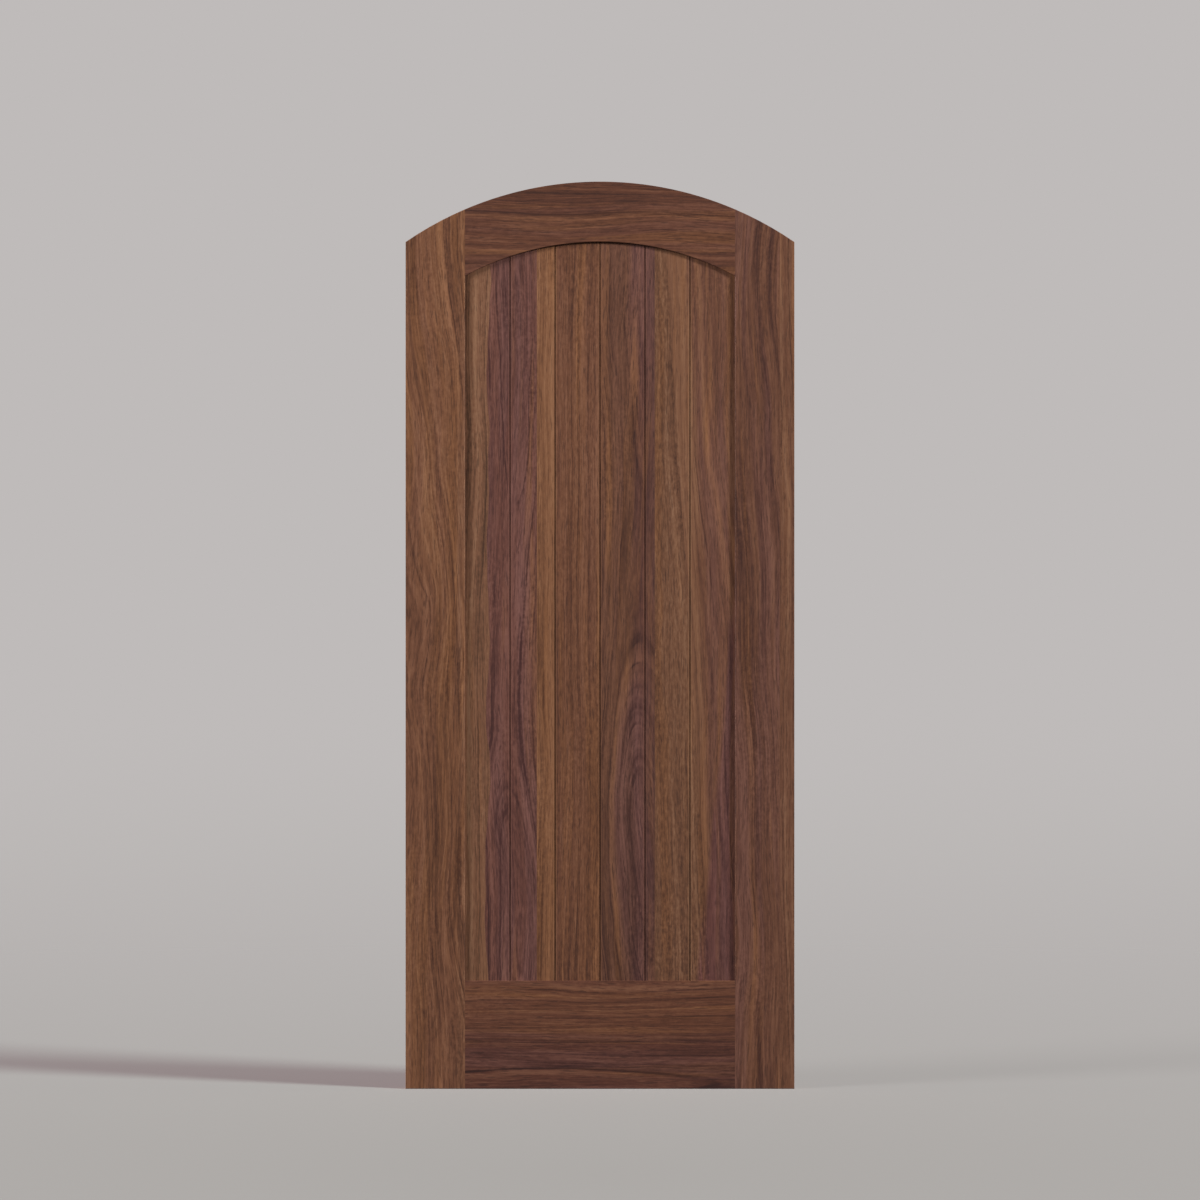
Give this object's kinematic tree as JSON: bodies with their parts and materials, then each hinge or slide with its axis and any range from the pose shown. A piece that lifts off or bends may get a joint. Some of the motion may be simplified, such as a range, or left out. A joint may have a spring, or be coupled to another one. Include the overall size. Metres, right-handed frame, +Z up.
{
  "type": "arched door leaf",
  "caption": "Walnut door leaf with a segmental arched head: stiles, an arched top rail and a deep bottom rail around a recessed panel of V-jointed upright planks.",
  "frame": {"origin": "middle of the leaf's bottom edge, on the mid-plane of its thickness", "axes": "+Z up, -Y out of the front face, +X to the right-hand edge seen from the front"},
  "size_m": [0.9144, 0.0444, 2.1335],
  "materials": {
    "walnut_stile": "satin clear coat",
    "walnut_rail": "satin clear coat",
    "walnut_plank": "satin clear coat"
  },
  "bodies": {
    "root": {"left_stile": "walnut_stile", "right_stile": "walnut_stile", "arched_top_rail": "walnut_rail", "bottom_rail": "walnut_rail", "plank_1": "walnut_plank", "plank_2": "walnut_plank", "plank_3": "walnut_plank", "plank_4": "walnut_plank", "plank_5": "walnut_plank", "plank_6": "walnut_plank"}
  },
  "joints": []
}
